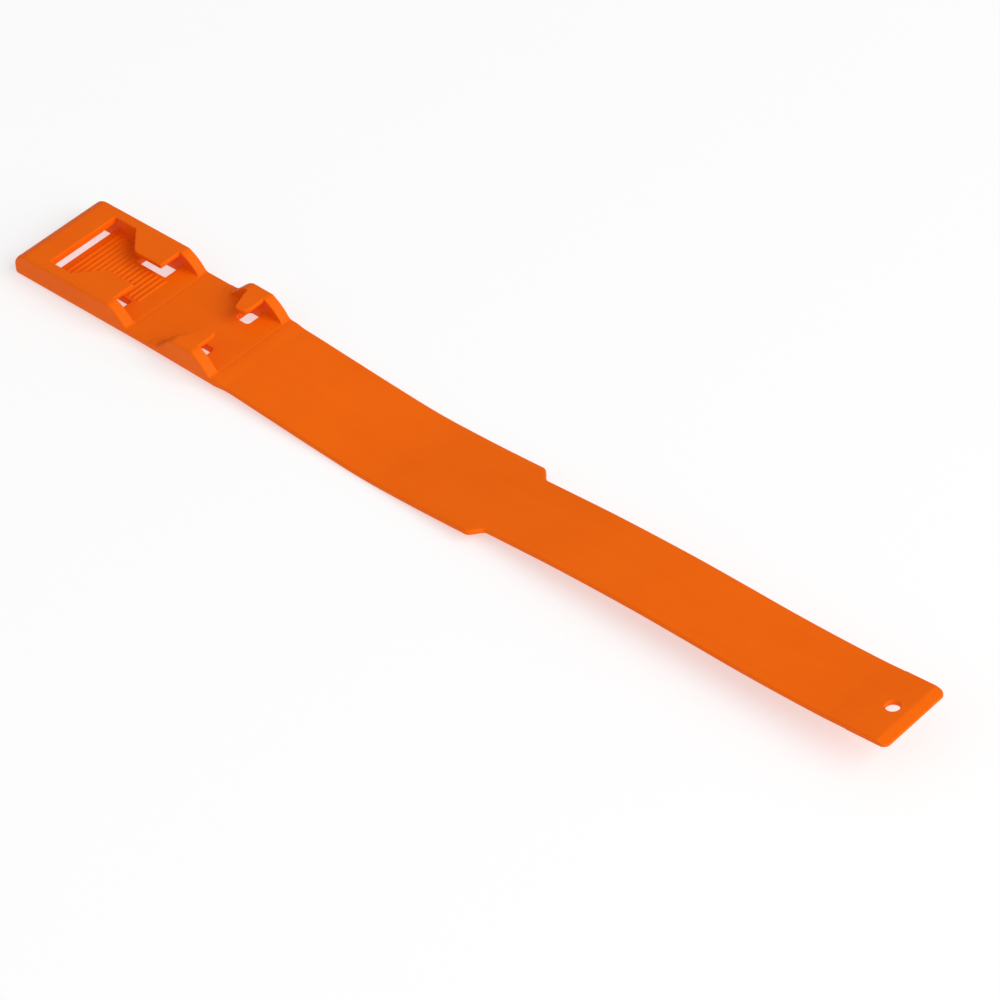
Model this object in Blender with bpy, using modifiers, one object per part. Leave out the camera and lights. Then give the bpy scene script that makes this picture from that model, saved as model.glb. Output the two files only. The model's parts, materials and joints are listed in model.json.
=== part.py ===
"""Adjustable plastic leg strap: a claw buckle head and a long flexible tongue.

The strap is one injection moulding. It is divided here where it bends, so each
stretch between two bending lines is a separate body that turns about the line.
Frame: +X from the buckle to the tongue's tip, +Y across, +Z up (claw side), origin
under the middle of the strap on the surface it lies on. Lengths below are metres.
"""
import math

import bmesh
import bpy
import numpy as np
from mathutils import Vector

# Overall sizes
TOTAL_LENGTH = 0.3813      # buckle end to tongue tip, measured along the ground
STRAP_WIDTH = 0.0400       # wide part of the strap
HEAD_FLARE = 0.0005        # head and rear walls wider than the strap, each side
TAIL_WIDTH = 0.0312        # narrow tongue that goes through the buckle
HEAD_HEIGHT = 0.0096       # top of the side rails above the underside

# Clearances
JOINT_GAP = 0.0003         # between the round ends where two stretches meet
TONGUE_CLEARANCE = 0.0004  # each side of the tongue between the rails

# Wall and strap thicknesses
FLOOR_THICKNESS = 0.0030
STRAP_THICKNESS = 0.0022
TAIL_THICKNESS = 0.0020
TIP_THICKNESS = 0.0009     # at the very end of the lead-in bevel
BAR_THICKNESS = 0.0029     # end bar that bridges the tongue's passage
LIP_THICKNESS = 0.0018     # overhanging claw lips

# Buckle head, lengths along X from the buckle end on
NOSE_RUN = 0.0040          # bevel over the tongue's way in
NOSE_DROP = 0.0052
BAR_LENGTH = 0.0113        # flat top of the end bar
FLOOR_UNDER_BAR = 0.0011   # how far the floor runs in under the bar
WINDOW_LENGTH = 0.0101     # from the bar to the root of the front lips
RAIL_PAST_LIP = 0.0008
RAIL_SLOPE_RUN = 0.0079
HEAD_HEEL = 0.0068         # floor from the rails' feet to the bending line
HEAD_CORNER_RADIUS = 0.0022

# Ribs that grip the tongue
RIB_AFTER_BAR = 0.0022
RIB_PAST_LIP = 0.0020
RIB_PITCH = 0.0022
RIB_RADIUS = 0.0009
RIB_HEIGHT = 0.00035
RIB_END_SPACE = 0.0006

# Claw lips and the moulding holes under them
LIP_TIP_Y = 0.0066         # from the middle plane to a lip's tip edge
HOLE_PAST_TIP = 0.0018     # hole's inner edge, outward from the tip edge
HOLE_INSET = 0.0004        # hole edge from the wall and from the line of the lip's end
FRONT_LIP_LENGTH = 0.0216
FRONT_LIP_SLANT = 0.0086   # along X, from the root to the tip edge
FRONT_HOLE_AFTER_ROOT = 0.0070

# Rear claws, lengths along X from the head's bending line on
REAR_CLAW_HEIGHT = 0.0100
REAR_RISE_START = 0.0070
REAR_RISE_RUN = 0.0095
REAR_LIP_SETBACK = 0.0003  # from the top of the rise to the lip's root
REAR_LIP_LENGTH = 0.0080
REAR_LIP_SLANT = 0.0030
REAR_LIP_CORNER = 0.0020
REAR_HOLE_AFTER_ROOT = 0.0010
REAR_WALL_PAST_LIP = 0.0005
REAR_SLOPE_RUN = 0.0079
REAR_HEEL = 0.0063         # plate from the walls' feet to its bending line

# Strap, shoulders and tongue
BODY_LINKS = 5
BODY_PITCH = 0.0210
SHOULDER_START = 0.0048
SHOULDER_RUN = 0.0055
SHOULDER_END = 0.0107
TAIL_LINKS = 7
TIP_LINK_LENGTH = 0.0245
TIP_BEVEL_RUN = 0.0038
TIP_CORNER_RADIUS = 0.0025
TIP_HOLE_RADIUS = 0.0025
TIP_HOLE_FROM_END = 0.0091

# How the strap lies at rest. The head stands on its end and its underside rises to
# HEAD_LIFT at the bending line behind it. Past the rear claw plate the underside's
# height over the ground goes by (share of the way to the tip, height): the strap
# sinks to the ground and then rises towards its tip.
HEAD_LIFT = 0.0019
REST_LIFT = (
    (0.0, 0.0026), (0.097, 0.0014), (0.2256, 0.0), (0.365, 0.0024), (0.508, 0.0063),
    (0.652, 0.0086), (0.795, 0.0094), (0.902, 0.0110), (1.0, 0.0139),
)

# Values worked out from the sizes above
INNER_HALF = TAIL_WIDTH / 2 + TONGUE_CLEARANCE
HEAD_HALF = STRAP_WIDTH / 2 + HEAD_FLARE
HOLE_INNER_Y = LIP_TIP_Y + HOLE_PAST_TIP
BAR_END_X = NOSE_RUN + BAR_LENGTH
FRONT_LIP_ROOT_X = BAR_END_X + WINDOW_LENGTH
FRONT_LIP_END_X = FRONT_LIP_ROOT_X + FRONT_LIP_LENGTH
RAIL_TOP_LENGTH = FRONT_LIP_END_X + RAIL_PAST_LIP
RAIL_FOOT_X = RAIL_TOP_LENGTH + RAIL_SLOPE_RUN
HEAD_FLEX_X = RAIL_FOOT_X + HEAD_HEEL
REAR_RISE_END = REAR_RISE_START + REAR_RISE_RUN
REAR_LIP_ROOT = REAR_RISE_END + REAR_LIP_SETBACK
REAR_LIP_END = REAR_LIP_ROOT + REAR_LIP_LENGTH
REAR_TOP_END = REAR_LIP_END + REAR_WALL_PAST_LIP
REAR_PLATE_LENGTH = REAR_TOP_END + REAR_SLOPE_RUN + REAR_HEEL
HEAD_PITCH = math.asin(HEAD_LIFT / HEAD_FLEX_X)
X_ORIGIN = -TOTAL_LENGTH / 2
LIP_AXIS_Z = HEAD_HEIGHT - LIP_THICKNESS / 2
BODY_START_X = HEAD_FLEX_X + REAR_PLATE_LENGTH
SHOULDER_X = BODY_START_X + BODY_LINKS * BODY_PITCH
TAIL_START_X = SHOULDER_X + SHOULDER_START + SHOULDER_RUN + SHOULDER_END
TIP_START_X = TOTAL_LENGTH - TIP_LINK_LENGTH
TAIL_PITCH = (TIP_START_X - TAIL_START_X) / TAIL_LINKS
CUT_MARGIN = 0.002         # how far a cutter runs past the faces it cuts
ARC_STEPS = 10

ORANGE = (0.82, 0.13, 0.004, 1.0)


def start_scene():
    for old in list(bpy.data.objects):
        bpy.data.objects.remove(old, do_unlink=True)
    parts = bpy.data.collections.new("leg_strap")
    cutters = bpy.data.collections.new("cutters")
    bpy.context.scene.collection.children.link(parts)
    bpy.context.scene.collection.children.link(cutters)
    return parts, cutters


PARTS, CUTTERS = start_scene()


def plastic(name, shade=1.0):
    """Soft orange plastic; shade darkens or lightens one part's colour."""
    material = bpy.data.materials.new(name)
    material.use_nodes = True
    shader = material.node_tree.nodes["Principled BSDF"]
    colour = [min(1.0, channel * shade) for channel in ORANGE[:3]] + [1.0]
    shader.inputs["Base Color"].default_value = colour
    shader.inputs["Roughness"].default_value = 0.45
    shader.inputs["Metallic"].default_value = 0.0
    return material


# Outlines, as lists of (u, v) points

def arc(centre, radius, start, end, steps=ARC_STEPS):
    """Points on a circle from angle start to angle end, in degrees."""
    points = []
    for i in range(steps + 1):
        angle = math.radians(start + (end - start) * i / steps)
        points.append((centre[0] + radius * math.cos(angle), centre[1] + radius * math.sin(angle)))
    return points


def hollow_end(radius):
    """Round hollow about the bending line at the origin, from top to bottom."""
    reach = radius + JOINT_GAP
    half_angle = math.degrees(math.asin(radius / reach))
    return arc((0, 0), reach, half_angle, -half_angle)


def link_profile(length, radius, end_radius):
    """Side view of one stretch: hollow at its start, round at its end."""
    return hollow_end(radius) + arc((length, 0), end_radius, -90, 90)


def smooth_step(u):
    """Half a cosine wave from 0 to 1."""
    return 0.5 - 0.5 * math.cos(math.pi * u)


def rounded_box(x0, x1, half_width, start_radius, end_radius):
    """Plan outline, counter-clockwise, with its start and end corners rounded."""
    outline = []
    corners = (
        (x0, -half_width, start_radius, 180), (x1, -half_width, end_radius, 270),
        (x1, half_width, end_radius, 0), (x0, half_width, start_radius, 90),
    )
    for x, y, radius, angle in corners:
        if radius == 0:
            outline.append((x, y))
            continue
        inward = 1 if x == x0 else -1
        centre = (x + inward * radius, y - math.copysign(radius, y))
        outline += arc(centre, radius, angle, angle + 90)
    return outline


# Solids

def prism(name, outline, depth, axis, collection):
    """Closed mesh: an outline extruded to a total depth, centred on its plane.

    axis "Z" puts the outline in plan (x, y); "Y" in side view (x, z); "X" in end
    view (y, z).
    """
    curve = bpy.data.curves.new(name, "CURVE")
    curve.dimensions = "2D"
    curve.fill_mode = "BOTH"
    curve.extrude = depth / 2
    spline = curve.splines.new("POLY")
    spline.points.add(len(outline) - 1)
    for point, (u, v) in zip(spline.points, outline):
        point.co = (u, v, 0, 1)
    spline.use_cyclic_u = True
    source = bpy.data.objects.new(name + "_outline", curve)
    CUTTERS.objects.link(source)
    depsgraph = bpy.context.evaluated_depsgraph_get()
    mesh = bpy.data.meshes.new_from_object(source.evaluated_get(depsgraph))
    bpy.data.objects.remove(source, do_unlink=True)
    turned = bmesh.new()
    turned.from_mesh(mesh)
    bmesh.ops.remove_doubles(turned, verts=turned.verts, dist=1e-7)
    for vert in turned.verts:
        x, y, z = vert.co
        if axis == "Y":
            vert.co = Vector((x, -z, y))
        elif axis == "X":
            vert.co = Vector((z, x, y))
    bmesh.ops.recalc_face_normals(turned, faces=turned.faces)
    turned.to_mesh(mesh)
    turned.free()
    mesh.name = name
    solid = bpy.data.objects.new(name, mesh)
    collection.objects.link(solid)
    return solid


def as_cutter(solid, parent):
    solid.hide_render = True
    solid.display_type = "WIRE"
    solid.parent = parent
    return solid


def combine(part, solid, operation):
    """Boolean of part with a cutter solid that is parented to it."""
    as_cutter(solid, part)
    modifier = part.modifiers.new(solid.name, "BOOLEAN")
    modifier.object = solid
    modifier.operation = operation
    modifier.solver = "EXACT"


def box(name, low, high):
    """Cutter box between two corners."""
    mesh = bpy.data.meshes.new(name)
    shape = bmesh.new()
    bmesh.ops.create_cube(shape, size=1.0)
    size = Vector(high) - Vector(low)
    middle = (Vector(high) + Vector(low)) / 2
    for vert in shape.verts:
        vert.co = Vector([middle[i] + vert.co[i] * size[i] for i in range(3)])
    shape.to_mesh(mesh)
    shape.free()
    solid = bpy.data.objects.new(name, mesh)
    CUTTERS.objects.link(solid)
    return solid


def rod(name, radius, start, end, sides):
    """Cutter cylinder between two points along X, Y or Z."""
    mesh = bpy.data.meshes.new(name)
    shape = bmesh.new()
    direction = Vector(end) - Vector(start)
    bmesh.ops.create_cone(
        shape, cap_ends=True, segments=sides, radius1=radius, radius2=radius,
        depth=direction.length)
    turn = direction.to_track_quat("Z", "Y").to_matrix()
    bmesh.ops.rotate(shape, verts=shape.verts, cent=(0, 0, 0), matrix=turn)
    bmesh.ops.translate(shape, verts=shape.verts, vec=(Vector(start) + Vector(end)) / 2)
    shape.to_mesh(mesh)
    shape.free()
    solid = bpy.data.objects.new(name, mesh)
    CUTTERS.objects.link(solid)
    return solid


def finish(part, shade=1.0):
    part.data.materials.clear()
    part.data.materials.append(plastic(part.name + "_plastic", shade))
    part.data.shade_smooth()
    part.data.set_sharp_from_angle(angle=math.radians(30))


# Where the bending lines lie at rest

def lift(share):
    """Smooth curve through REST_LIFT: cubic pieces, each slope taken from the neighbours."""
    shares = np.array([point[0] for point in REST_LIFT])
    heights = np.array([point[1] for point in REST_LIFT])
    slopes = np.gradient(heights, shares)
    i = int(np.clip(np.searchsorted(shares, share) - 1, 0, len(shares) - 2))
    run = shares[i + 1] - shares[i]
    u = (share - shares[i]) / run
    start = (2 * u**3 - 3 * u**2 + 1) * heights[i] + (u**3 - 2 * u**2 + u) * run * slopes[i]
    end = (3 * u**2 - 2 * u**3) * heights[i + 1] + (u**3 - u**2) * run * slopes[i + 1]
    return max(0.0, float(start + end))


def middle_height(x, thickness):
    """Height of the strap's middle layer at rest, x from the buckle end."""
    return lift((x - BODY_START_X) / (TOTAL_LENGTH - BODY_START_X)) + thickness / 2


def flex_points():
    """Bending lines from the head to the last one, and the tip, as (x, z)."""
    body_xs = [BODY_START_X + i * BODY_PITCH for i in range(BODY_LINKS + 1)]
    tail_xs = [TAIL_START_X + i * TAIL_PITCH for i in range(TAIL_LINKS + 1)]
    tail_xs.append(TOTAL_LENGTH)
    radius = FLOOR_THICKNESS / 2
    points = [(
        HEAD_FLEX_X * math.cos(HEAD_PITCH) - radius * math.sin(HEAD_PITCH),
        HEAD_FLEX_X * math.sin(HEAD_PITCH) + radius * math.cos(HEAD_PITCH))]
    points += [(x, middle_height(x, STRAP_THICKNESS)) for x in body_xs]
    points += [(x, middle_height(x, TAIL_THICKNESS)) for x in tail_xs]
    return points


def place(part, start, end):
    """Origin on the bending line at start, local X towards end."""
    pitch = math.atan2(end[1] - start[1], end[0] - start[0])
    part.location = (X_ORIGIN + start[0], 0, start[1])
    part.rotation_euler = (0, -pitch, 0)


def link_length(start, end):
    return math.hypot(end[0] - start[0], end[1] - start[1])


# Buckle head

def cut_claw_pair(part, name, root, end, hole_start, axis_z, bottom):
    """Holes through the floor under two lips, and the hollows that the lips turn in."""
    groove = LIP_THICKNESS / 2 + JOINT_GAP
    hole_outer = INNER_HALF - HOLE_INSET
    for side, word in ((1, "left"), (-1, "right")):
        hole = box(
            f"{name}_hole_{word}",
            (hole_start, min(side * HOLE_INNER_Y, side * hole_outer), bottom - CUT_MARGIN),
            (end - HOLE_INSET, max(side * HOLE_INNER_Y, side * hole_outer),
             bottom + FLOOR_THICKNESS + CUT_MARGIN))
        combine(part, hole, "DIFFERENCE")
        seat = rod(
            f"{name}_seat_{word}", groove,
            (root - JOINT_GAP, side * INNER_HALF, axis_z),
            (end + JOINT_GAP, side * INNER_HALF, axis_z), 24)
        combine(part, seat, "DIFFERENCE")


def add_ribs(head):
    """Rows of half-round ribs across the floor; those between the holes are shorter."""
    first_x = BAR_END_X + RIB_AFTER_BAR
    hole_x = FRONT_LIP_ROOT_X + FRONT_HOLE_AFTER_ROOT
    wide_count = int((hole_x - RIB_RADIUS - first_x) / RIB_PITCH) + 1
    narrow_x = first_x + wide_count * RIB_PITCH
    narrow_count = int((FRONT_LIP_END_X + RIB_PAST_LIP - narrow_x) / RIB_PITCH) + 1
    rows = (
        ("ribs_wide", first_x, wide_count, INNER_HALF - RIB_END_SPACE),
        ("ribs_narrow", narrow_x, narrow_count, HOLE_INNER_Y - RIB_END_SPACE),
    )
    z = FLOOR_THICKNESS + RIB_HEIGHT - RIB_RADIUS
    for name, x, count, half_length in rows:
        rib = rod(name, RIB_RADIUS, (x, -half_length, z), (x, half_length, z), 16)
        copies = rib.modifiers.new("row", "ARRAY")
        copies.use_relative_offset = False
        copies.use_constant_offset = True
        copies.constant_offset_displace = (RIB_PITCH, 0, 0)
        copies.count = count
        combine(head, rib, "UNION")


def make_head():
    radius = FLOOR_THICKNESS / 2
    side = [(0, 0)] + arc((HEAD_FLEX_X, radius), radius, -90, 90)
    side += [(RAIL_FOOT_X, FLOOR_THICKNESS), (RAIL_TOP_LENGTH, HEAD_HEIGHT)]
    side += [(NOSE_RUN, HEAD_HEIGHT), (0, HEAD_HEIGHT - NOSE_DROP)]
    head = prism("buckle_head", side, 2 * (HEAD_HALF + CUT_MARGIN), "Y", PARTS)
    far_x = HEAD_FLEX_X + FLOOR_THICKNESS
    plan = rounded_box(0, far_x, HEAD_HALF, HEAD_CORNER_RADIUS, 0)
    combine(head, prism("head_plan", plan, 4 * HEAD_HEIGHT, "Z", CUTTERS), "INTERSECT")
    bar_underside = HEAD_HEIGHT - BAR_THICKNESS
    floor_start = BAR_END_X - FLOOR_UNDER_BAR
    tongue_way = [
        (-CUT_MARGIN, -CUT_MARGIN), (floor_start, -CUT_MARGIN), (floor_start, FLOOR_THICKNESS),
        (far_x, FLOOR_THICKNESS), (far_x, HEAD_HEIGHT + CUT_MARGIN),
        (BAR_END_X, HEAD_HEIGHT + CUT_MARGIN), (BAR_END_X, bar_underside),
        (-CUT_MARGIN, bar_underside)]
    combine(head, prism("tongue_way", tongue_way, 2 * INNER_HALF, "Y", CUTTERS), "DIFFERENCE")
    cut_claw_pair(
        head, "front", FRONT_LIP_ROOT_X, FRONT_LIP_END_X,
        FRONT_LIP_ROOT_X + FRONT_HOLE_AFTER_ROOT, LIP_AXIS_Z, 0)
    add_ribs(head)
    head.location = (X_ORIGIN, 0, 0)
    head.rotation_euler = (0, -HEAD_PITCH, 0)
    finish(head)
    return head


def make_lip(name, plan, side, parent, root_middle, axis_z):
    """Claw lip: a plate with a round root on its bending line, which runs along X.

    plan is its outline from above, x from the middle of its root, y inwards from the
    root. side is 1 for the left (+Y) claw and -1 for the right one.
    """
    radius = LIP_THICKNESS / 2
    reach = INNER_HALF
    section = arc((0, 0), radius, 90, 270) + [(reach, -radius), (reach, radius)]
    section = [(-side * y, z) for y, z in section]
    lip = prism(name, section, 4 * reach, "X", PARTS)
    outline = [(x, -side * y) for x, y in plan]
    combine(lip, prism(name + "_plan", outline, 4 * radius, "Z", CUTTERS), "INTERSECT")
    lip.parent = parent
    lip.location = (root_middle, side * INNER_HALF, axis_z)
    finish(lip, 1.06)
    return lip


def lip_outline(length, slant, corner):
    """Plan of a lip, centred along its root, with its end corner cut off by corner."""
    back = -LIP_THICKNESS
    depth = INNER_HALF - LIP_TIP_Y
    left = JOINT_GAP - length / 2
    right = -left
    outline = [(left, back), (right, back), (right, depth - corner)]
    if corner > 0:
        outline.append((right - corner, depth))
    outline += [(slant - length / 2, depth), (left, 0)]
    return outline


def make_front_claws(head):
    plan = lip_outline(FRONT_LIP_LENGTH, FRONT_LIP_SLANT, 0)
    middle = FRONT_LIP_ROOT_X + FRONT_LIP_LENGTH / 2
    for side, word in ((1, "left"), (-1, "right")):
        make_lip(f"claw_front_{word}", plan, side, head, middle, LIP_AXIS_Z)


# Rear claw plate

def make_rear_plate(start, end):
    """Plate behind the head; its two side walls rise in a smooth ramp to the rear claws."""
    length = link_length(start, end)
    radius = FLOOR_THICKNESS / 2
    top = REAR_CLAW_HEIGHT - radius
    profile = link_profile(length, radius, STRAP_THICKNESS / 2)
    plate = prism("rear_claw_plate", profile, STRAP_WIDTH, "Y", PARTS)
    wall = [(REAR_RISE_START, 0), (REAR_TOP_END + REAR_SLOPE_RUN, 0), (REAR_TOP_END, top)]
    for i in range(ARC_STEPS):
        u = i / ARC_STEPS
        wall.append((REAR_RISE_END - u * REAR_RISE_RUN, top * (1 - smooth_step(u))))
    wall_width = HEAD_HALF - INNER_HALF
    for side, word in ((1, "left"), (-1, "right")):
        rail = prism(f"rear_wall_{word}", wall, wall_width, "Y", CUTTERS)
        rail.location.y = side * (INNER_HALF + wall_width / 2)
        combine(plate, rail, "UNION")
    axis_z = top - LIP_THICKNESS / 2
    cut_claw_pair(
        plate, "rear", REAR_LIP_ROOT, REAR_LIP_END,
        REAR_LIP_ROOT + REAR_HOLE_AFTER_ROOT, axis_z, -radius)
    place(plate, start, end)
    finish(plate)
    plan = lip_outline(REAR_LIP_LENGTH, REAR_LIP_SLANT, REAR_LIP_CORNER)
    middle = REAR_LIP_ROOT + REAR_LIP_LENGTH / 2
    for side, word in ((1, "left"), (-1, "right")):
        make_lip(f"claw_rear_{word}", plan, side, plate, middle, axis_z)
    return plate


# Strap and tongue

def make_link(name, start, end, width, thickness, end_thickness):
    """Plain stretch of strap between two bending lines."""
    length = link_length(start, end)
    profile = link_profile(length, thickness / 2, end_thickness / 2)
    link = prism(name, profile, width, "Y", PARTS)
    place(link, start, end)
    finish(link)
    return link


def make_shoulder(start, end):
    """Stretch where the strap steps in to the tongue's width on both sides."""
    link = make_link(
        "shoulder_link", start, end, STRAP_WIDTH, STRAP_THICKNESS, TAIL_THICKNESS)
    wide = STRAP_WIDTH / 2 + CUT_MARGIN
    step = (STRAP_WIDTH - TAIL_WIDTH) / 2
    for side, word in ((1, "left"), (-1, "right")):
        edge = []
        for i in range(ARC_STEPS + 1):
            u = i / ARC_STEPS
            x = SHOULDER_START + u * SHOULDER_RUN
            edge.append((x, side * (STRAP_WIDTH / 2 - step * smooth_step(u))))
        far = link_length(start, end) + STRAP_THICKNESS
        outline = [(SHOULDER_START, side * wide)] + edge
        outline += [(far, side * TAIL_WIDTH / 2), (far, side * wide)]
        cutter = prism(f"shoulder_{word}", outline, 4 * STRAP_THICKNESS, "Z", CUTTERS)
        combine(link, cutter, "DIFFERENCE")
    return link


def make_tip(start, end):
    """Last stretch: rounded corners, a lead-in bevel on top and a small round hole."""
    length = link_length(start, end)
    radius = TAIL_THICKNESS / 2
    profile = hollow_end(radius) + [(length, -radius), (length, TIP_THICKNESS - radius)]
    profile.append((length - TIP_BEVEL_RUN, radius))
    tip = prism("tail_tip", profile, TAIL_WIDTH, "Y", PARTS)
    plan = rounded_box(-TAIL_THICKNESS, length, TAIL_WIDTH / 2, 0, TIP_CORNER_RADIUS)
    combine(tip, prism("tip_plan", plan, 4 * TAIL_THICKNESS, "Z", CUTTERS), "INTERSECT")
    hole_x = length - TIP_HOLE_FROM_END
    hole = rod(
        "tip_hole", TIP_HOLE_RADIUS, (hole_x, 0, -TAIL_THICKNESS), (hole_x, 0, TAIL_THICKNESS), 32)
    combine(tip, hole, "DIFFERENCE")
    place(tip, start, end)
    finish(tip)
    return tip


def make_strap(points):
    body_points = points[1:]
    for i in range(BODY_LINKS):
        make_link(
            f"strap_link_{i + 1:02d}", body_points[i], body_points[i + 1],
            STRAP_WIDTH, STRAP_THICKNESS, STRAP_THICKNESS)
    make_shoulder(body_points[BODY_LINKS], body_points[BODY_LINKS + 1])
    tail_points = body_points[BODY_LINKS + 1:]
    for i in range(TAIL_LINKS):
        make_link(
            f"tail_link_{i + 1:02d}", tail_points[i], tail_points[i + 1],
            TAIL_WIDTH, TAIL_THICKNESS, TAIL_THICKNESS)
    make_tip(tail_points[TAIL_LINKS], tail_points[TAIL_LINKS + 1])


head_object = make_head()
make_front_claws(head_object)
flex = flex_points()
make_rear_plate(flex[0], flex[1])
make_strap(flex)
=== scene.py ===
import json
import math

import bpy
import numpy as np
from mathutils import Euler, Matrix


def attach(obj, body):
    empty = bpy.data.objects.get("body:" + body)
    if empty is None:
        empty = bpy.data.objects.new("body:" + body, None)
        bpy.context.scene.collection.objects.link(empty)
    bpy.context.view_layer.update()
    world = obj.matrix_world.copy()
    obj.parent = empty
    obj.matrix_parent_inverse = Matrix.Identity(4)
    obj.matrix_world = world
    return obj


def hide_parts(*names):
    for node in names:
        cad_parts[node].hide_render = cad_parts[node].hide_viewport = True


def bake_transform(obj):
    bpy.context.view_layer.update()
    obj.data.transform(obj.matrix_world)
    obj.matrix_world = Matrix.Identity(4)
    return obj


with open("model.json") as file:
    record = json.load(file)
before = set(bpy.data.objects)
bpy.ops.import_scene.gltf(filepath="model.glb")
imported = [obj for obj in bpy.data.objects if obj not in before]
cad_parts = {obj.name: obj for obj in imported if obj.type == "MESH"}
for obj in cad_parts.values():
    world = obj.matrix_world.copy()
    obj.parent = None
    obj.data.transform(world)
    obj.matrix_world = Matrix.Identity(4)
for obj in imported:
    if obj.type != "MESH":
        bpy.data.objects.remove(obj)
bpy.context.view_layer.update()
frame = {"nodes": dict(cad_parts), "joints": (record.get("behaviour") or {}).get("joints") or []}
print("frame loaded:", len(frame["nodes"]), "nodes")

millimetre = 0.001

# where the frame puts the bends: the joints whose axis runs across the strap
acrossShare = 0.9                # an axis that has more of y than this in it runs across
chainJoints = [joint for joint in frame["joints"] if abs(joint["axis"][1]) > acrossShare]
bends = np.array([[joint["pos_m"][0], joint["pos_m"][2]] for joint in chainJoints])


# Fields: negative inside the plastic, about a distance outside. Arrays of points in, one value each out.

def roundAnd(a, b, radius):
    # overlap of two solids: the larger distance, and near the edge where they meet, the distance to a
    # circle of the radius that touches both
    u = np.maximum(a + radius, 0)
    v = np.maximum(b + radius, 0)
    return np.minimum(np.maximum(a, b), -radius) + np.hypot(u, v)


def roundOr(a, b, radius):
    # union of two solids with a fillet of the radius where they meet
    return -roundAnd(-a, -b, radius)


def slopePlane(u, v, start, end):
    # distance to the line through two (u, v) points, positive on its left side
    run, rise = end[0] - start[0], end[1] - start[1]
    return ((v - start[1]) * run - (u - start[0]) * rise) / math.hypot(run, rise)


def archedSlope(u, v, start, end, bulge):
    # distance to an arc through two (u, v) points that stands out from their line by the bulge; before
    # the arc's centre it goes on level
    run, rise = end[0] - start[0], end[1] - start[1]
    chord = math.hypot(run, rise)
    radius = chord**2 / (8 * bulge) + bulge / 2
    centreU = (start[0] + end[0]) / 2 + rise / chord * (radius - bulge)
    centreV = (start[1] + end[1]) / 2 - run / chord * (radius - bulge)
    return np.hypot(np.maximum(u - centreU, 0), v - centreV) - radius


def roundedPlan(x, y, low, high, halfWidth, radius):
    # rectangle in plan from low to high, |y| under halfWidth, its corners rounded
    dx = np.abs(x - (low + high) / 2) - ((high - low) / 2 - radius)
    dy = np.abs(y) - (halfWidth - radius)
    outside = np.hypot(np.maximum(dx, 0), np.maximum(dy, 0))
    return outside + np.minimum(np.maximum(dx, dy), 0) - radius


def smoothRise(u):
    # half a cosine wave from 0 to 1
    return 0.5 - 0.5 * np.cos(np.pi * np.clip(u, 0, 1))


def makeObject(name, vertices, quads, sharpAngle=None):
    # arrays of points and of four corner numbers a face, straight into a mesh
    mesh = bpy.data.meshes.new(name)
    mesh.vertices.add(len(vertices))
    mesh.vertices.foreach_set("co", vertices.astype(np.float32).ravel())
    mesh.loops.add(4 * len(quads))
    mesh.loops.foreach_set("vertex_index", quads.astype(np.int32).ravel())
    mesh.polygons.add(len(quads))
    mesh.polygons.foreach_set("loop_start", 4 * np.arange(len(quads), dtype=np.int32))
    mesh.update(calc_edges=True)
    mesh.validate()
    mesh.shade_smooth()
    if sharpAngle:
        mesh.set_sharp_from_angle(angle=math.radians(sharpAngle))
    piece = bpy.data.objects.new(name, mesh)
    bpy.context.scene.collection.objects.link(piece)
    return piece


netting = dict(
    margin=1.5,          # grid steps round the piece's box
    rounds=4,            # of settling
    nudge=0.02,          # of the grid's step, each way, to measure the field's slope
    leastSlope=0.2,      # square of the slope, so that flat spots don't throw a point far off
    longest=0.4,         # of the grid's step, in one round
)


def settle(points, field, step):
    # moves each point down the field's slope, by value / slope, onto the surface, where the field is zero
    for _ in range(netting["rounds"]):
        value = field(points)
        slope = np.empty_like(points)
        for axis in range(3):
            nudge = np.zeros(3)
            nudge[axis] = netting["nudge"] * step
            slope[:, axis] = (field(points + nudge) - field(points - nudge)) / (2 * nudge[axis])
        size = np.maximum((slope**2).sum(1), netting["leastSlope"])
        shift = (value / size)[:, None] * slope
        length = np.maximum(np.linalg.norm(shift, axis=1, keepdims=True), 1e-12)
        points = points - shift * np.minimum(1, netting["longest"] * step / length)
    return points


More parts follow.
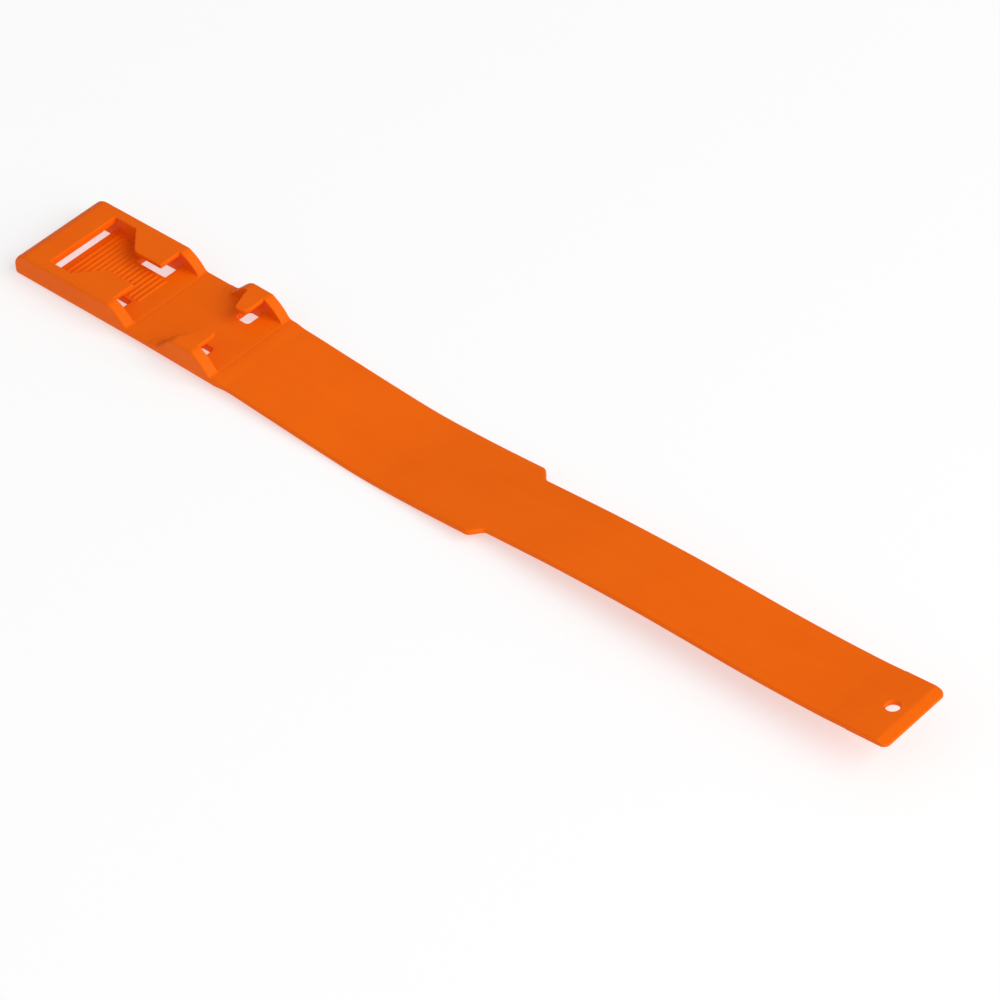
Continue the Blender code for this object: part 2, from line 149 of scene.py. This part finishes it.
def meshFromField(name, field, low, high, step, origin=(0, 0), pitch=0):
    # surface nets: one vertex in every cell of a grid that the surface passes through, at the mean of
    # its crossings on the cell's edges, and one face round every grid edge that the surface crosses;
    # the finished points are pitched about y and moved to the origin, an (x, z) pair
    space = netting["margin"] * step
    low, high = np.array(low, float) - space, np.array(high, float) + space
    counts = np.ceil((high - low) / step).astype(int) + 1
    low = (low + high - (counts - 1) * step) / 2
    lines = [low[axis] + step * np.arange(counts[axis]) for axis in range(3)]
    value = field(np.stack(np.meshgrid(*lines, indexing="ij"), -1))
    cells = counts - 1
    total = np.zeros((*cells, 3))
    crossings = np.zeros(cells)
    for axis in range(3):
        across, up = (axis + 1) % 3, (axis + 2) % 3
        for i in (0, 1):
            for j in (0, 1):
                corner = np.zeros(3, int)
                corner[across], corner[up] = i, j
                span = tuple(slice(corner[k], corner[k] + cells[k]) for k in range(3))
                corner[axis] = 1
                spanEnd = tuple(slice(corner[k], corner[k] + cells[k]) for k in range(3))
                first, second = value[span], value[spanEnd]
                crossed = (first < 0) != (second < 0)
                share = np.where(crossed, first / np.where(crossed, first - second, 1), 0)
                total[..., axis] += share
                total[..., across] += crossed * i
                total[..., up] += crossed * j
                crossings += crossed
    used = crossings > 0
    number = np.full(cells, -1)
    number[used] = np.arange(used.sum())
    base = np.stack(np.meshgrid(*[np.arange(n) for n in cells], indexing="ij"), -1)[used]
    vertices = low + step * (base + total[used] / crossings[used][:, None])
    faces = []
    for axis in range(3):
        across, up = (axis + 1) % 3, (axis + 2) % 3
        inner = [slice(1, cells[k]) for k in range(3)]
        inner[axis] = slice(0, cells[axis])
        after = list(inner)
        after[axis] = slice(1, cells[axis] + 1)
        first, second = value[tuple(inner)] < 0, value[tuple(after)] < 0
        places = np.argwhere(first != second) + [0 if k == axis else 1 for k in range(3)]
        stepAcross, stepUp = np.eye(3, dtype=int)[across], np.eye(3, dtype=int)[up]
        ring = [places - stepAcross - stepUp, places - stepUp, places, places - stepAcross]
        ring = np.stack([number[tuple(cell.T)] for cell in ring], 1)
        outward = first[first != second]
        faces.append(np.where(outward[:, None], ring, ring[:, ::-1]))
    vertices = settle(vertices, field, step)
    turned = vertices.copy()
    turned[:, 0] = origin[0] + vertices[:, 0] * math.cos(pitch) - vertices[:, 2] * math.sin(pitch)
    turned[:, 2] = origin[1] + vertices[:, 0] * math.sin(pitch) + vertices[:, 2] * math.cos(pitch)
    return makeObject(name, turned, np.concatenate(faces))


grainLook = dict(
    blotchDetail=3,
    fineDetail=2,
    flowScale=(12, 260, 60),     # flow lines are long along the strap and close together across it
    toneInHeight=0.25,
)


def makeGrainGroup():
    # moulded plastic: slow blotches mixed with flow lines make the tone, a fine noise makes the grain,
    # and the height is the grain with a share of the tone
    group = bpy.data.node_groups.new("mouldedGrain", "ShaderNodeTree")
    inputs = (("Vector", "NodeSocketVector", None), ("Blotch Size", "NodeSocketFloat", 40.0),
              ("Grain Size", "NodeSocketFloat", 1800.0), ("Flow", "NodeSocketFloat", 0.3))
    for name, kind, value in inputs:
        socket = group.interface.new_socket(name, in_out="INPUT", socket_type=kind)
        if value is not None:
            socket.default_value = value
    for name in ("Tone", "Grain", "Height"):
        group.interface.new_socket(name, in_out="OUTPUT", socket_type="NodeSocketFloat")
    nodes, links = group.nodes, group.links
    given, out = nodes.new("NodeGroupInput"), nodes.new("NodeGroupOutput")
    blotch, grain, flow = (nodes.new("ShaderNodeTexNoise") for _ in range(3))
    blotch.inputs["Detail"].default_value = grainLook["blotchDetail"]
    grain.inputs["Detail"].default_value = grainLook["fineDetail"]
    flow.inputs["Detail"].default_value = grainLook["fineDetail"]
    stretch = nodes.new("ShaderNodeMapping")
    stretch.inputs["Scale"].default_value = grainLook["flowScale"]
    flow.inputs["Scale"].default_value = 1
    links.new(given.outputs["Vector"], blotch.inputs["Vector"])
    links.new(given.outputs["Vector"], grain.inputs["Vector"])
    links.new(given.outputs["Vector"], stretch.inputs["Vector"])
    links.new(stretch.outputs["Vector"], flow.inputs["Vector"])
    links.new(given.outputs["Blotch Size"], blotch.inputs["Scale"])
    links.new(given.outputs["Grain Size"], grain.inputs["Scale"])
    tone = nodes.new("ShaderNodeMix")
    links.new(given.outputs["Flow"], tone.inputs[0])
    links.new(blotch.outputs["Fac"], tone.inputs[2])
    links.new(flow.outputs["Fac"], tone.inputs[3])
    height = nodes.new("ShaderNodeMix")
    height.inputs[0].default_value = grainLook["toneInHeight"]
    links.new(grain.outputs["Fac"], height.inputs[2])
    links.new(tone.outputs[0], height.inputs[3])
    links.new(tone.outputs[0], out.inputs["Tone"])
    links.new(grain.outputs["Fac"], out.inputs["Grain"])
    links.new(height.outputs[0], out.inputs["Height"])
    return group


plasticLook = dict(
    deep=(0.875, 0.128, 0.0015),
    light=(0.915, 0.140, 0.0020),
    deepUpTo=0.32,               # tone that is all deep, and tone from which it is all light
    lightFrom=0.68,
    smooth=0.42,
    dull=0.54,
    blotchSize=45.0,
    grainSize=1700.0,
    flow=0.35,
    bump=0.25,
    depth=0.00005,
    ior=1.47,
    specular=0.07,
)


def makePlastic(name, look, grainGroup):
    # soft orange plastic, coloured through, its tone and gloss from the shared grain
    material = bpy.data.materials.new(name)
    material.use_nodes = True
    nodes, links = material.node_tree.nodes, material.node_tree.links
    shader = nodes["Principled BSDF"]
    place = nodes.new("ShaderNodeTexCoord")
    grain = nodes.new("ShaderNodeGroup")
    grain.node_tree = grainGroup
    links.new(place.outputs["Object"], grain.inputs["Vector"])
    grain.inputs["Blotch Size"].default_value = look["blotchSize"]
    grain.inputs["Grain Size"].default_value = look["grainSize"]
    grain.inputs["Flow"].default_value = look["flow"]
    colour = nodes.new("ShaderNodeValToRGB")
    colour.color_ramp.elements[0].position = look["deepUpTo"]
    colour.color_ramp.elements[0].color = (*look["deep"], 1)
    colour.color_ramp.elements[1].position = look["lightFrom"]
    colour.color_ramp.elements[1].color = (*look["light"], 1)
    links.new(grain.outputs["Tone"], colour.inputs["Fac"])
    links.new(colour.outputs["Color"], shader.inputs["Base Color"])
    gloss = nodes.new("ShaderNodeMapRange")
    gloss.inputs["To Min"].default_value = look["smooth"]
    gloss.inputs["To Max"].default_value = look["dull"]
    links.new(grain.outputs["Grain"], gloss.inputs["Value"])
    links.new(gloss.outputs["Result"], shader.inputs["Roughness"])
    bump = nodes.new("ShaderNodeBump")
    bump.inputs["Strength"].default_value = look["bump"]
    bump.inputs["Distance"].default_value = look["depth"]
    links.new(grain.outputs["Height"], bump.inputs["Height"])
    links.new(bump.outputs["Normal"], shader.inputs["Normal"])
    shader.inputs["IOR"].default_value = look["ior"]
    shader.inputs["Specular IOR Level"].default_value = look["specular"]
    return material


plastic = makePlastic("orangePlastic", plasticLook, makeGrainGroup())
print("finishes made")


def dress(piece, nodes=()):
    # gives a piece the plastic and hides the frame's nodes that it stands for
    piece.data.materials.append(plastic)
    if nodes:
        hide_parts(*nodes)


buckle = dict(                       # lengths along the head, from its end, and heights over its underside
    width=41.0 * millimetre,
    height=9.6 * millimetre,
    floorTop=3.0 * millimetre,
    innerHalf=16.0 * millimetre,
    noseRun=4.0 * millimetre,
    noseDrop=5.2 * millimetre,
    noseRadius=2.4 * millimetre,
    barEnd=15.3 * millimetre,
    barThickness=2.9 * millimetre,
    floorStart=14.2 * millimetre,    # a little way in under the bar
    cornerRadius=2.2 * millimetre,
    railTopEnd=47.8 * millimetre,
    railFootEnd=55.7 * millimetre,
    railBulge=0.7 * millimetre,      # of the rail's slanted end, over a straight slant
    slantEdge=0.4 * millimetre,
    floorEnd=58.0 * millimetre,
    outerEdge=1.0 * millimetre,
    innerEdge=0.35 * millimetre,
    fillet=0.5 * millimetre,
    holeStart=32.4 * millimetre,
    holeEnd=46.8 * millimetre,
    holeInner=8.4 * millimetre,
    holeCorner=0.5 * millimetre,
    holeEdge=0.25 * millimetre,
    holeOver=0.5 * millimetre,       # how far over the floor a hole is cut
    voxel=0.32 * millimetre,
)
ribs = dict(
    start=17.5 * millimetre,
    pitch=2.2 * millimetre,
    wideCount=7,
    count=15,
    radius=0.9 * millimetre,
    height=0.35 * millimetre,
    endSpace=0.6 * millimetre,       # from a wide rib's end to the rail
    narrowHalf=7.4 * millimetre,
    fillet=0.2 * millimetre,
)
buckleHalf = buckle["width"] / 2


def lipHole(x, y, z, start, end, corner, floorTop):
    # hole through the floor under a claw: a rounded rectangle in plan from the inner side to the rail
    middle = (buckle["innerHalf"] + buckle["holeInner"]) / 2
    halfWidth = (buckle["innerHalf"] - buckle["holeInner"]) / 2
    hole = roundedPlan(x, y - middle, start, end, halfWidth, corner)
    return np.maximum(hole, z - floorTop - buckle["holeOver"])


def headField(points):
    # a rounded block, less the tongue's way through it and the two holes, and with a rib at every
    # pitch: a capsule across the floor that is sunk in it
    x, y, z = points[..., 0], np.abs(points[..., 1]), points[..., 2]
    height = buckle["height"]
    slant = archedSlope(x, z, (buckle["railTopEnd"], height), (buckle["railFootEnd"], buckle["floorTop"]),
                        buckle["railBulge"])
    railTop = roundAnd(z - height, slant, buckle["slantEdge"])
    nose = slopePlane(x, z, (0, height - buckle["noseDrop"]), (buckle["noseRun"], height))
    railTop = roundAnd(railTop, nose, buckle["noseRadius"])
    top = roundOr(z - buckle["floorTop"], railTop, buckle["fillet"])
    top = np.where(x < buckle["barEnd"], railTop, top)
    plan = roundedPlan(x, y, 0, buckle["floorEnd"] + buckle["cornerRadius"], buckleHalf,
                       buckle["cornerRadius"])
    outside = roundAnd(roundAnd(plan, top, buckle["outerEdge"]), -z, buckle["outerEdge"])
    outside = np.maximum(outside, x - buckle["floorEnd"])
    edge = buckle["innerEdge"]
    # the tongue's way: clear of the bar, which it passes under, and of the floor, which it runs over
    clearOfBar = roundOr(z - height + buckle["barThickness"], buckle["barEnd"] - x, edge)
    clearOfFloor = roundOr(buckle["floorTop"] - z, x - buckle["floorStart"], edge)
    way = np.maximum(clearOfBar, clearOfFloor)
    way = roundAnd(way, y - buckle["innerHalf"], buckle["fillet"])
    solid = roundAnd(outside, -way, edge)
    index = np.clip(np.round((x - ribs["start"]) / ribs["pitch"]), 0, ribs["count"] - 1)
    halfLength = np.where(index < ribs["wideCount"], buckle["innerHalf"] - ribs["endSpace"],
                          ribs["narrowHalf"]) - ribs["radius"]
    ribX = x - ribs["start"] - index * ribs["pitch"]
    ribZ = z - (buckle["floorTop"] + ribs["height"] - ribs["radius"])
    past = np.maximum(y - halfLength, 0)
    rib = np.sqrt(ribX**2 + ribZ**2 + past**2) - ribs["radius"]
    solid = roundOr(solid, rib, ribs["fillet"])
    hole = lipHole(x, y, z, buckle["holeStart"], buckle["holeEnd"], buckle["holeCorner"],
                   buckle["floorTop"])
    return roundAnd(solid, -hole, buckle["holeEdge"])


# the head stands on the lowest corner of its end and pitches up from there, so that the middle layer of
# its floor runs through the first bend
headPoints = np.array([vertex.co for vertex in frame["nodes"]["buckle_head"].data.vertices])
headOrigin = headPoints[headPoints[:, 2].argmin()][[0, 2]]
toBend = bends[0] - headOrigin
headPitch = math.atan2(toBend[1], toBend[0]) - math.asin(
    buckle["floorTop"] / 2 / math.hypot(*toBend))
head = meshFromField(
    "buckleHead", headField, (0, -buckleHalf, 0), (buckle["floorEnd"], buckleHalf, buckle["height"]),
    buckle["voxel"], headOrigin, headPitch)
dress(head, ["buckle_head"])
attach(head, "head")
print("buckle head made:", len(head.data.polygons), "faces")


rearPlate = dict(
    start=4.8 * millimetre,          # along the plate, from the bend behind the head
    end=35.2 * millimetre,
    halfThickness=1.5 * millimetre,
    riseStart=6.4 * millimetre,
    riseEnd=17.0 * millimetre,
    top=8.5 * millimetre,            # from the plate's middle layer
    topEnd=25.3 * millimetre,
    slopeEnd=33.2 * millimetre,
    holeStart=17.8 * millimetre,
    holeEnd=24.2 * millimetre,
    holeCorner=1.4 * millimetre,
    voxel=0.30 * millimetre,
)


def rearField(points):
    # plate with two side walls: their top climbs from the floor as half a cosine wave, runs level and
    # comes down as an arc; the wave's height over it, divided by the wave's steepness, is the distance
    x, y, z = points[..., 0], np.abs(points[..., 1]), points[..., 2]
    half = rearPlate["halfThickness"]
    climb = rearPlate["top"] - half
    run = rearPlate["riseEnd"] - rearPlate["riseStart"]
    share = np.clip((x - rearPlate["riseStart"]) / run, 0, 1)
    steepness = climb * math.pi / (2 * run) * np.sin(math.pi * share)
    wallTop = (z - half - climb * smoothRise(share)) / np.hypot(1, steepness)
    wallTop = roundAnd(
        wallTop,
        archedSlope(x, z, (rearPlate["topEnd"], rearPlate["top"]), (rearPlate["slopeEnd"], half),
                    buckle["railBulge"]),
        buckle["slantEdge"])
    top = roundOr(z - half, wallTop, buckle["fillet"])
    outside = roundAnd(y - buckleHalf, top, buckle["outerEdge"])
    outside = roundAnd(outside, -half - z, buckle["outerEdge"])
    outside = np.maximum(outside, np.maximum(rearPlate["start"] - x, x - rearPlate["end"]))
    way = roundAnd(y - buckle["innerHalf"], half - z, buckle["fillet"])
    solid = roundAnd(outside, -way, buckle["innerEdge"])
    hole = lipHole(x, y, z, rearPlate["holeStart"], rearPlate["holeEnd"], rearPlate["holeCorner"], half)
    return roundAnd(solid, -hole, buckle["holeEdge"])


platePitch = math.atan2(bends[1, 1] - bends[0, 1], bends[1, 0] - bends[0, 0])
rear = meshFromField(
    "rearClawPlate", rearField, (rearPlate["start"], -buckleHalf, -rearPlate["halfThickness"]),
    (rearPlate["end"], buckleHalf, rearPlate["top"]), rearPlate["voxel"], bends[0], platePitch)
dress(rear, ["rear_claw_plate"])
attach(rear, "rear_claw_plate")
print("rear claw plate made:", len(rear.data.polygons), "faces")


frontLip = dict(
    rootStart=25.4 * millimetre,     # where its slanted side leaves the rail
    tipStart=34.0 * millimetre,      # where that side reaches the tip
    end=47.0 * millimetre,
    tipHalf=6.6 * millimetre,
    tipCorner=1.2 * millimetre,
    endCorner=0.5 * millimetre,
    thickness=1.8 * millimetre,
    edge=0.45 * millimetre,
    voxel=0.25 * millimetre,
)
rearLip = dict(
    rootStart=16.9 * millimetre,
    tipStart=19.9 * millimetre,
    end=24.9 * millimetre,
    tipHalf=6.6 * millimetre,
    cornerCut=1.6 * millimetre,      # off the corner between the tip and the end
    tipCorner=1.0 * millimetre,
    endCorner=1.0 * millimetre,
    thickness=1.8 * millimetre,
    edge=0.5 * millimetre,
    voxel=0.22 * millimetre,
)
lipRoot = dict(
    depth=1.4 * millimetre,          # how far a lip runs on inside the rail
    runOut=2.0 * millimetre,         # how far its slanted end may run on in x meanwhile
    edge=0.3 * millimetre,
    flush=0.004 * millimetre,        # lip's top over the rail's, so that neither cuts the other
    bendSpan=4.0 * millimetre,       # from the joint towards the tip
)


def lipPlate(plan, lip, top, y, z):
    # a flat plate of the lip's outline under the top, its edges rounded and its root inside the rail
    middle = top - lip["thickness"] / 2 + lipRoot["flush"]
    plate = roundAnd(plan, np.abs(z - middle) - lip["thickness"] / 2, lip["edge"])
    return roundAnd(plate, y - buckle["innerHalf"] - lipRoot["depth"], lipRoot["edge"])


def frontLipField(points):
    # outline: a slant from the rail to the tip, the tip's straight side, and a square end
    x, y, z = points[..., 0], np.abs(points[..., 1]), points[..., 2]
    slant = -slopePlane(x, y, (frontLip["rootStart"], buckle["innerHalf"]),
                        (frontLip["tipStart"], frontLip["tipHalf"]))
    plan = roundAnd(slant, frontLip["tipHalf"] - y, frontLip["tipCorner"])
    plan = roundAnd(plan, x - frontLip["end"], frontLip["endCorner"])
    return lipPlate(plan, frontLip, buckle["height"], y, z)


def rearLipField(points):
    # outline: as the front lip's, but with a cut corner and rounder
    x, y, z = points[..., 0], np.abs(points[..., 1]), points[..., 2]
    slant = -slopePlane(x, y, (rearLip["rootStart"], buckle["innerHalf"]),
                        (rearLip["tipStart"], rearLip["tipHalf"]))
    cut = rearLip["cornerCut"]
    corner = slopePlane(x, y, (rearLip["end"], rearLip["tipHalf"] + cut),
                        (rearLip["end"] - cut, rearLip["tipHalf"]))
    plan = roundAnd(slant, rearLip["tipHalf"] - y, rearLip["tipCorner"])
    plan = roundAnd(plan, corner, rearLip["endCorner"])
    plan = roundAnd(plan, x - rearLip["end"], rearLip["endCorner"])
    return lipPlate(plan, rearLip, rearPlate["top"], y, z)


# piece, node, body that carries it, field, sizes, and that body's origin, pitch and wall top
claws = (
    ("frontClaw", "claw_front", "head", frontLipField, frontLip, headOrigin, headPitch,
     buckle["height"]),
    ("rearClaw", "claw_rear", "rear_claw_plate", rearLipField, rearLip, bends[0], platePitch,
     rearPlate["top"]),
)
for name, nodeName, parent, field, lip, origin, pitch, top in claws:
    for side, word in ((1, "Left"), (-1, "Right")):
        outer = buckle["innerHalf"] + lipRoot["depth"]
        lowY, highY = sorted((side * lip["tipHalf"], side * outer))
        lowX = lip["rootStart"] - lipRoot["runOut"]
        body = f"{nodeName}_{word.lower()}"
        claw = meshFromField(
            name + word, field, (lowX, lowY, top - lip["thickness"]), (lip["end"], highY, top),
            lip["voxel"], origin, pitch)
        dress(claw, [body])
        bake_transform(claw)
print("claws made")


strap = dict(
    halfThickness=1.1 * millimetre,
    tailHalfThickness=1.0 * millimetre,
    halfWidth=20.0 * millimetre,
    tailHalfWidth=15.6 * millimetre,
    edgeRadius=0.6 * millimetre,
    stationStep=0.7 * millimetre,
    topColumns=22,
    cornerSteps=5,
    shoulderStart=4.8 * millimetre,  # from the bend at the start of the shoulder
    shoulderRun=5.6 * millimetre,
    plateRun=6.0 * millimetre,       # over which the plate thins to the strap
    proud=0.006 * millimetre,        # skin over the end of the piece that it sleeves
    overlap=0.9 * millimetre,        # how far a skin reaches over the end of that piece
    headStraight=0.3 * millimetre,   # from the head's end to where the middle line starts to curve
    straight=0.5 * millimetre,       # the same at the plate's ends and at the tip's start
    blendShare=0.97,                 # of the way from a bend to the nearer end of its skin
    sharpAngle=50,                   # degrees
)
tip = dict(
    start=9.0 * millimetre,          # along the tip, from the last bend
    cornerRadius=2.5 * millimetre,
    bevelRun=3.8 * millimetre,
    bevelEdge=0.15 * millimetre,
    edge=0.3 * millimetre,
    endThickness=0.9 * millimetre,
    holeRadius=2.5 * millimetre,
    holeFromEnd=9.1 * millimetre,
    holeEdge=0.25 * millimetre,
    voxel=0.22 * millimetre,
)


def tipField(points):
    # flat tongue with rounded corners, a bevel over its end, and a round hole
    x, y, z = points[..., 0], points[..., 1], points[..., 2]
    half = strap["tailHalfThickness"]
    plan = roundedPlan(x, y, -tipLength, tipLength, strap["tailHalfWidth"], tip["cornerRadius"])
    bevel = slopePlane(x, z, (tipLength - tip["bevelRun"], half),
                       (tipLength, tip["endThickness"] - half))
    top = roundAnd(z - half, bevel, tip["bevelEdge"])
    solid = roundAnd(plan, top, tip["edge"])
    solid = roundAnd(solid, -half - z, tip["edge"])
    hole = np.hypot(x - tipLength + tip["holeFromEnd"], y) - tip["holeRadius"]
    solid = roundAnd(solid, -hole, tip["holeEdge"])
    return np.maximum(solid, tip["start"] - x)


# the tip's length and pitch, from the lowest corner of its end face
tipPoints = np.array([vertex.co for vertex in frame["nodes"]["tail_tip"].data.vertices])
endCorner = tipPoints[tipPoints[:, 0].argmax()][[0, 2]] - bends[-1]
tipLength = math.sqrt(endCorner @ endCorner - strap["tailHalfThickness"] ** 2)
tipPitch = math.atan2(endCorner[1], endCorner[0]) + math.atan2(strap["tailHalfThickness"], tipLength)
tailTip = meshFromField(
    "tongueTip", tipField, (tip["start"], -strap["tailHalfWidth"], -strap["tailHalfThickness"]),
    (tipLength, strap["tailHalfWidth"], strap["tailHalfThickness"]), tip["voxel"], bends[-1], tipPitch)
dress(tailTip, ["tail_tip"])
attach(tailTip, "tail_tip")


# The strap's middle line and section between the solids, both along x.

def joinKnots(knots, xs):
    # cubic pieces through (x, height, slope) knots: heights and slopes at xs
    knotX, knotZ, knotSlope = np.array(knots).T
    i = np.clip(np.searchsorted(knotX, xs, side="right") - 1, 0, len(knotX) - 2)
    run = knotX[i + 1] - knotX[i]
    u = (xs - knotX[i]) / run
    rise = knotZ[i + 1] - knotZ[i]
    startPull, endPull = run * knotSlope[i], run * knotSlope[i + 1]
    cubic = startPull + endPull - 2 * rise
    square = 3 * rise - 2 * startPull - endPull
    height = knotZ[i] + u * (startPull + u * (square + u * cubic))
    slope = (startPull + u * (2 * square + u * 3 * cubic)) / run
    return height, slope


def sectionAt(xs):
    # half width, half thickness and edge radius of the section at each x
    plateShare = smoothRise((xs - plateEnd) / strap["plateRun"])
    shoulderStart = shoulderBend + strap["shoulderStart"]
    stepShare = smoothRise((xs - shoulderStart) / strap["shoulderRun"])
    width = buckleHalf + (strap["halfWidth"] - buckleHalf) * plateShare
    width = width + (strap["tailHalfWidth"] - strap["halfWidth"]) * stepShare
    thickness = rearPlate["halfThickness"]
    thickness = thickness + (strap["halfThickness"] - thickness) * plateShare
    thickness = thickness + (strap["tailHalfThickness"] - strap["halfThickness"]) * stepShare
    radius = buckle["outerEdge"] + (strap["edgeRadius"] - buckle["outerEdge"]) * plateShare
    proud = strap["proud"]
    return np.stack([width + proud, thickness + proud, radius + proud], 1)


def alongHead(distance):
    # point of the middle layer of the head's floor, and its slope
    lift = buckle["floorTop"] / 2
    return (headOrigin[0] + distance * math.cos(headPitch) - lift * math.sin(headPitch),
            headOrigin[1] + distance * math.sin(headPitch) + lift * math.cos(headPitch),
            math.tan(headPitch))


def alongPlate(distance):
    # point of the middle layer of the rear claw plate, and its slope
    return (bends[0, 0] + distance * math.cos(platePitch),
            bends[0, 1] + distance * math.sin(platePitch), math.tan(platePitch))


def alongTip(distance):
    # point of the middle layer of the tongue's tip, and its slope
    return (bends[-1, 0] + distance * math.cos(tipPitch),
            bends[-1, 1] + distance * math.sin(tipPitch), math.tan(tipPitch))


def sectionRing(halfWidth, halfThickness, radius):
    # closed outline of the strap's section: flat faces and round edges, from the right side over the
    # top to the left side and back underneath, the lower half a mirror image of the upper one
    turn = np.linspace(0, math.pi / 2, strap["cornerSteps"] + 1)
    right = np.stack([halfWidth - radius + radius * np.cos(turn),
                      halfThickness - radius + radius * np.sin(turn)], 1)
    share = np.linspace(1, -1, strap["topColumns"] + 1)[1:-1]
    flat = np.stack([share * (halfWidth - radius), np.full(len(share), halfThickness)], 1)
    left = right[::-1] * [-1, 1]
    upper = np.concatenate([right, flat, left])
    return np.concatenate([upper, upper[::-1] * [1, -1]])


def skin(name, xs):
    # the section carried along the strap's middle line, square to it, and closed at each end by a ladder
    # of faces from its upper half to its lower half
    shape = sectionAt(xs)
    heights, slopes = joinKnots(lineKnots, xs)
    length = np.hypot(1, slopes)
    rings = np.array([sectionRing(*row) for row in shape])
    count = rings.shape[1]
    vertices = np.empty((len(xs), count, 3))
    vertices[..., 0] = xs[:, None] - rings[..., 1] * (slopes / length)[:, None]
    vertices[..., 1] = rings[..., 0]
    vertices[..., 2] = heights[:, None] + rings[..., 1] / length[:, None]
    here = np.arange(count)
    there = (here + 1) % count
    row = count * np.arange(len(xs) - 1)[:, None]
    sides = np.stack([row + here, row + count + here, row + count + there, row + there], -1)
    half = np.arange(count // 2 - 1)
    ladder = np.stack([half, half + 1, count - 2 - half, count - 1 - half], 1)
    far = ladder[:, ::-1] + count * (len(xs) - 1)
    quads = np.concatenate([sides.reshape(-1, 4), ladder, far])
    return makeObject(name, vertices.reshape(-1, 3), quads, strap["sharpAngle"])


shoulderBend = bends[[joint["child"] for joint in chainJoints].index("shoulder_link"), 0]
overlap = strap["overlap"]
headSkinStart = alongHead(buckle["floorEnd"] - overlap)[0]
plateSkinEnd = alongPlate(rearPlate["start"] + overlap)[0]
plateSkinStart = alongPlate(rearPlate["end"] - overlap)[0]
plateEnd = alongPlate(rearPlate["end"])[0]
tipSkinEnd = alongTip(tip["start"] + overlap)[0]
bendSlopes = (bends[2:, 1] - bends[:-2, 1]) / (bends[2:, 0] - bends[:-2, 0])
lineKnots = [alongHead(buckle["floorEnd"] - 2 * overlap),
             alongHead(buckle["floorEnd"] + strap["headStraight"]),
             alongPlate(rearPlate["start"] - strap["straight"]),
             alongPlate(rearPlate["end"] + strap["straight"])]
lineKnots += [(*bend, slope) for bend, slope in zip(bends[1:-1], bendSlopes)]
lineKnots += [(*bends[-1], (bendSlopes[-1] + math.tan(tipPitch)) / 2)]
lineKnots += [alongTip(tip["start"] - strap["straight"]), alongTip(tipLength)]

# one skin for each bend, from halfway to the bend before to halfway to the next, or to a solid's end
middles = (bends[1:, 0] + bends[:-1, 0]) / 2
starts = [headSkinStart, plateSkinStart, *middles[1:]]
ends = [plateSkinEnd, *middles[1:], tipSkinEnd]
for joint, start, end in zip(chainJoints, starts, ends):
    stations = int(math.ceil((end - start) / strap["stationStep"])) + 1
    piece = skin(joint["name"].replace("flex", "skin"), np.linspace(start, end, stations))
    child = joint["child"]
    covered = [] if child in ("rear_claw_plate", "tail_tip") else [child]
    dress(piece, covered)
    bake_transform(piece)
print("strap and tongue made:", len(starts), "skins")


setting = dict(                      # metres, degrees and watts
    floorSize=6.0,
    floorDrop=0.1 * millimetre,      # below the strap
    floorColour=(0.5, 0.5, 0.5),
    floorRoughness=0.8,
    floorGlow=0.52,
    worldLight=0.44,
    keyPlace=(3.0, 0.5, 2.2),
    keySize=3.6,
    keyPower=138,
    fillPlace=(-0.9, -1.3, 0.9),
    fillSize=1.2,
    fillPower=3,
    azimuth=41.651,
    elevation=43.231,
    roll=-0.685,
    distance=1.447,
    target=(16.35 * millimetre, 3.0 * millimetre, -0.49 * millimetre),
    lens=156.8,
)


def paleFloor():
    # plain pale sheet, lit from within like a light table, so that shadows stay faint
    material = bpy.data.materials.new("paleFloor")
    material.use_nodes = True
    shader = material.node_tree.nodes["Principled BSDF"]
    shader.inputs["Base Color"].default_value = (*setting["floorColour"], 1)
    shader.inputs["Roughness"].default_value = setting["floorRoughness"]
    shader.inputs["Specular IOR Level"].default_value = 0.0
    shader.inputs["Emission Color"].default_value = (1, 1, 1, 1)
    shader.inputs["Emission Strength"].default_value = setting["floorGlow"]
    return material


def softLight(name, place, size, power):
    # square soft box at place, facing the origin
    light = bpy.data.lights.new(name, "AREA")
    light.size = size
    light.energy = power
    lamp = bpy.data.objects.new(name, light)
    bpy.context.scene.collection.objects.link(lamp)
    lamp.location = place
    away = lamp.location.normalized()
    lamp.rotation_euler = away.to_track_quat("Z", "Y").to_euler()


bpy.ops.mesh.primitive_plane_add(size=setting["floorSize"], location=(0, 0, -setting["floorDrop"]))
floor = bpy.context.object
floor.name = "studioFloor"
floor.data.materials.append(paleFloor())

world = bpy.data.worlds.new("studio")
world.use_nodes = True
world.node_tree.nodes["Background"].inputs["Color"].default_value = (1, 1, 1, 1)
world.node_tree.nodes["Background"].inputs["Strength"].default_value = setting["worldLight"]
bpy.context.scene.world = world
softLight("keyLight", setting["keyPlace"], setting["keySize"], setting["keyPower"])
softLight("fillLight", setting["fillPlace"], setting["fillSize"], setting["fillPower"])

cameraData = bpy.data.cameras.new("camera")
cameraData.lens = setting["lens"]
camera = bpy.data.objects.new("camera", cameraData)
bpy.context.scene.collection.objects.link(camera)
# the camera looks at the target from a direction given by two angles, and is rolled about its own axis
azimuth, elevation = math.radians(setting["azimuth"]), math.radians(setting["elevation"])
back = np.array([math.sin(azimuth) * math.cos(elevation), -math.cos(azimuth) * math.cos(elevation),
                 math.sin(elevation)])
camera.location = np.array(setting["target"]) + setting["distance"] * back
turn = Euler((math.pi / 2 - elevation, 0, azimuth)).to_matrix() @ Matrix.Rotation(
    math.radians(setting["roll"]), 3, "Z")
camera.rotation_euler = turn.to_euler()
bpy.context.scene.camera = camera
bpy.context.scene.view_settings.view_transform = "Standard"
print("floor, light and camera set")
